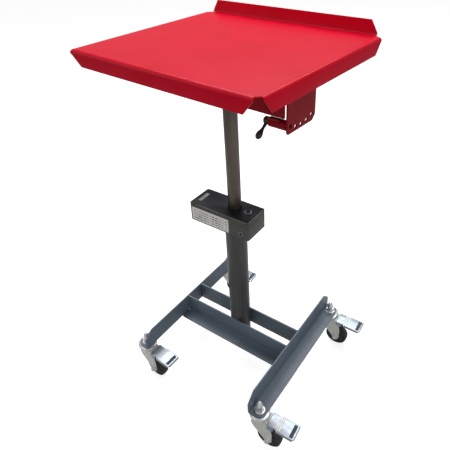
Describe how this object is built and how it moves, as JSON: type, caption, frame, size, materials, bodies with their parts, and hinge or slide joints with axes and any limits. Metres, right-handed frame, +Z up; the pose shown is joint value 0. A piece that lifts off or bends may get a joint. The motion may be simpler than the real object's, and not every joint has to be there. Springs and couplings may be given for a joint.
{
  "type": "mobile tilting work table",
  "caption": "Sheet-steel work tray that tilts on a height-adjustable column over an H-shaped base with braked swivel casters.",
  "frame": {"origin": "on the floor under the middle of the bounding box, with the column axis 3.9 mm towards -X and 29.1 mm towards -Y of it", "axes": "+Z up along the column, +X towards the index plate, +Y towards the backstop"},
  "size_m": [0.7106, 0.5942, 1.1644],
  "materials": {
    "red_powder_coat": "gloss powder coat",
    "grey_paint": "satin paint",
    "black_paint": "satin paint",
    "bare_steel": "bare drawn steel",
    "bright_zinc": "bright zinc plate",
    "black_rubber": "moulded",
    "guide_plastic": "matt",
    "black_plastic": "semi-gloss"
  },
  "bodies": {
    "base": {"left_rail": "grey_paint", "right_rail": "grey_paint", "front_crossbar": "grey_paint", "rear_crossbar": "grey_paint", "outer_tube": "grey_paint", "tube_end_plug": "bare_steel", "upper_guide_bush": "guide_plastic", "lock_housing": "black_paint", "housing_bottom": "black_paint", "housing_screw": "bright_zinc", "fulcrum_block": "bare_steel", "lever_pivot_pin": "bright_zinc", "stem_fl": "bright_zinc", "stem_nut_fl": "bright_zinc", "dome_nut_fl": "bright_zinc", "stem_fr": "bright_zinc", "stem_nut_fr": "bright_zinc", "dome_nut_fr": "bright_zinc", "stem_rl": "bright_zinc", "stem_nut_rl": "bright_zinc", "dome_nut_rl": "bright_zinc", "stem_rr": "bright_zinc", "stem_nut_rr": "bright_zinc", "dome_nut_rr": "bright_zinc"},
    "lower_jam": {"jam_plate_lower": "bare_steel"},
    "upper_jam": {"jam_plate_upper": "bare_steel"},
    "release": {"release_lever": "bare_steel"},
    "carriage": {"lower_guide_bush": "guide_plastic"},
    "mast": {"inner_tube": "bare_steel", "head_channel": "red_powder_coat", "pin_sleeve": "red_powder_coat", "pivot_rod": "bright_zinc", "rod_nut_left": "bright_zinc", "rod_nut_right": "bright_zinc"},
    "pin": {"index_pin": "bare_steel"},
    "pin_handle": {"pin_lever": "black_plastic"},
    "table": {"table_tray": "red_powder_coat", "index_plate": "red_powder_coat", "hinge_plate": "red_powder_coat"},
    "swivel_fl": {"fork_fl": "bright_zinc", "axle_fl": "bright_zinc"},
    "roller_fl": {"wheel_fl": "black_rubber"},
    "brake_fl": {"pedal_fl": "bright_zinc"},
    "swivel_fr": {"fork_fr": "bright_zinc", "axle_fr": "bright_zinc"},
    "roller_fr": {"wheel_fr": "black_rubber"},
    "brake_fr": {"pedal_fr": "bright_zinc"},
    "swivel_rl": {"fork_rl": "bright_zinc", "axle_rl": "bright_zinc"},
    "roller_rl": {"wheel_rl": "black_rubber"},
    "brake_rl": {"pedal_rl": "bright_zinc"},
    "swivel_rr": {"fork_rr": "bright_zinc", "axle_rr": "bright_zinc"},
    "roller_rr": {"wheel_rr": "black_rubber"},
    "brake_rr": {"pedal_rr": "bright_zinc"}
  },
  "joints": [
    {"name": "column_lift", "type": "slide", "parent": "base", "child": "carriage", "axis": [0, 0, 1], "range_m": [-0.27, 0.085]},
    {"name": "mast_turn", "type": "hinge", "parent": "carriage", "child": "mast", "pos_m": [-0.0039, -0.0291, 0.618], "axis": [0, 0, 1], "continuous": true},
    {"name": "table_tilt", "type": "hinge", "parent": "mast", "child": "table", "pos_m": [-0.0039, -0.0291, 1.101], "axis": [0.9973, -0.0732, 0], "range_deg": [-45, 0]},
    {"name": "pin_handle_turn", "type": "hinge", "parent": "mast", "child": "pin_handle", "pos_m": [0.15012, -0.08569, 0.99198], "axis": [0.9973, -0.0732, 0], "range_deg": [0, 51.5]},
    {"name": "index_pin_throw", "type": "slide", "parent": "mast", "child": "pin", "axis": [0.9973, -0.0732, 0], "range_m": [0, 0.008]},
    {"name": "release_lever_press", "type": "hinge", "parent": "base", "child": "release", "pos_m": [-0.1039, -0.0291, 0.608], "axis": [0, -1, 0], "range_deg": [0, 5], "stiffness_Nm_per_rad": 2},
    {"name": "lower_jam_tilt", "type": "hinge", "parent": "base", "child": "lower_jam", "pos_m": [0.0381, -0.0291, 0.618], "axis": [0, 1, 0], "range_deg": [0, 2.4]},
    {"name": "upper_jam_tilt", "type": "hinge", "parent": "base", "child": "upper_jam", "pos_m": [0.0381, -0.0291, 0.625], "axis": [0, 1, 0], "range_deg": [0, 2.4]},
    {"name": "swivel_turn_fl", "type": "hinge", "parent": "base", "child": "swivel_fl", "pos_m": [-0.2379, -0.2651, 0.118], "axis": [0, 0, 1], "continuous": true},
    {"name": "wheel_spin_fl", "type": "hinge", "parent": "swivel_fl", "child": "roller_fl", "pos_m": [-0.20292, -0.26632, 0.04], "axis": [0.0349, 0.9994, 0], "continuous": true},
    {"name": "brake_press_fl", "type": "hinge", "parent": "swivel_fl", "child": "brake_fl", "pos_m": [-0.19992, -0.26643, 0.109], "axis": [0.0349, 0.9994, 0], "range_deg": [0, 10]},
    {"name": "swivel_turn_fr", "type": "hinge", "parent": "base", "child": "swivel_fr", "pos_m": [0.2301, -0.2651, 0.118], "axis": [0, 0, 1], "continuous": true},
    {"name": "wheel_spin_fr", "type": "hinge", "parent": "swivel_fr", "child": "roller_fr", "pos_m": [0.26502, -0.26266, 0.04], "axis": [-0.0698, 0.9976, 0], "continuous": true},
    {"name": "brake_press_fr", "type": "hinge", "parent": "swivel_fr", "child": "brake_fr", "pos_m": [0.26801, -0.26245, 0.109], "axis": [-0.0698, 0.9976, 0], "range_deg": [0, 10]},
    {"name": "swivel_turn_rl", "type": "hinge", "parent": "base", "child": "swivel_rl", "pos_m": [-0.2379, 0.2069, 0.118], "axis": [0, 0, 1], "continuous": true},
    {"name": "wheel_spin_rl", "type": "hinge", "parent": "swivel_rl", "child": "roller_rl", "pos_m": [-0.20303, 0.20995, 0.04], "axis": [-0.0872, 0.9962, 0], "continuous": true},
    {"name": "brake_press_rl", "type": "hinge", "parent": "swivel_rl", "child": "brake_rl", "pos_m": [-0.20005, 0.21021, 0.109], "axis": [-0.0872, 0.9962, 0], "range_deg": [0, 10]},
    {"name": "swivel_turn_rr", "type": "hinge", "parent": "base", "child": "swivel_rr", "pos_m": [0.2301, 0.2069, 0.118], "axis": [0, 0, 1], "continuous": true},
    {"name": "wheel_spin_rr", "type": "hinge", "parent": "swivel_rr", "child": "roller_rr", "pos_m": [0.26508, 0.20812, 0.04], "axis": [-0.0349, 0.9994, 0], "continuous": true},
    {"name": "brake_press_rr", "type": "hinge", "parent": "swivel_rr", "child": "brake_rr", "pos_m": [0.26808, 0.20823, 0.109], "axis": [-0.0349, 0.9994, 0], "range_deg": [0, 10]}
  ],
  "couplings": [
    {"joint": "pin_handle_turn", "follows": "index_pin_throw", "rad_per_m": 109.08},
    {"joint": "lower_jam_tilt", "follows": "release_lever_press", "ratio": 0.46},
    {"joint": "upper_jam_tilt", "follows": "release_lever_press", "ratio": 0.46}
  ]
}
